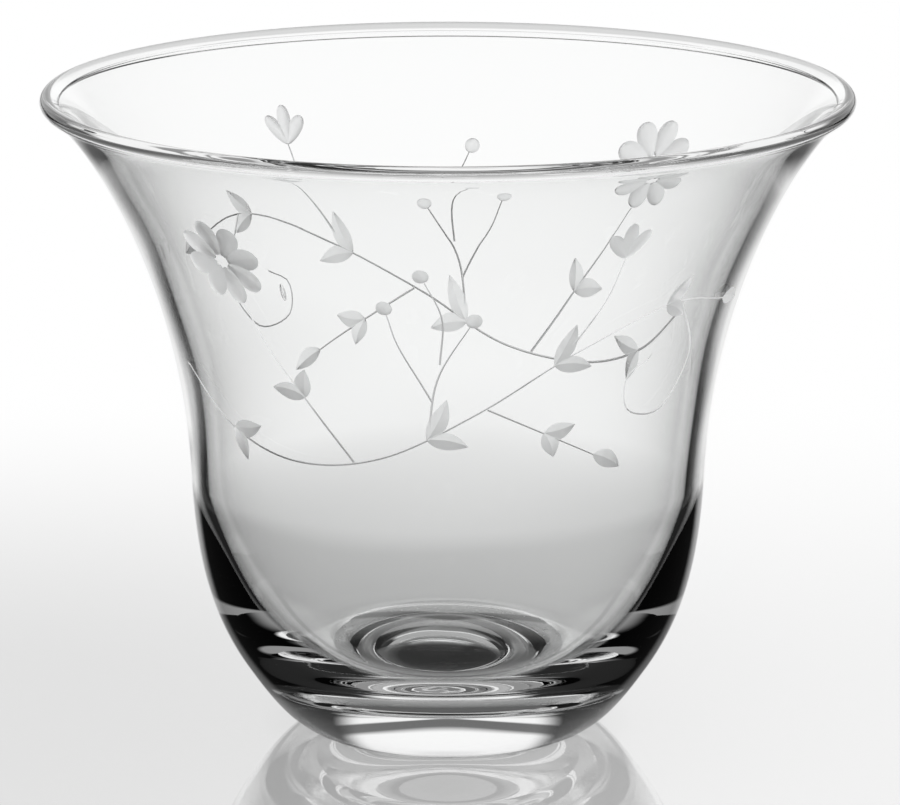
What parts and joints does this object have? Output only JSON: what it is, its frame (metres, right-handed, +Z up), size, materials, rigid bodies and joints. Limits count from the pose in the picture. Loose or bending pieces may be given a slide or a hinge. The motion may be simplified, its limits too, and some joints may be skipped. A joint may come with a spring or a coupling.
{
  "type": "votive candle holder",
  "caption": "Bell-shaped clear glass holder for a votive candle, with a beaded rim, a heavy base and a shallow cut flower-and-leaf spray.",
  "frame": {"origin": "the middle of the foot, on the plane the holder stands on", "axes": "+Z up along the axis the glass is turned about, -Y towards the side that the picture shows, +X to that view's right"},
  "size_m": [0.102, 0.102, 0.082],
  "materials": {
    "clear_glass": "colourless blown glass, fire polished all over, with matte grey wheel cuts on the outer side and a flat ground foot ring round a shallow arch with a polished hollow in it"
  },
  "bodies": {
    "root": {"glass_cup": "clear_glass"}
  },
  "joints": []
}
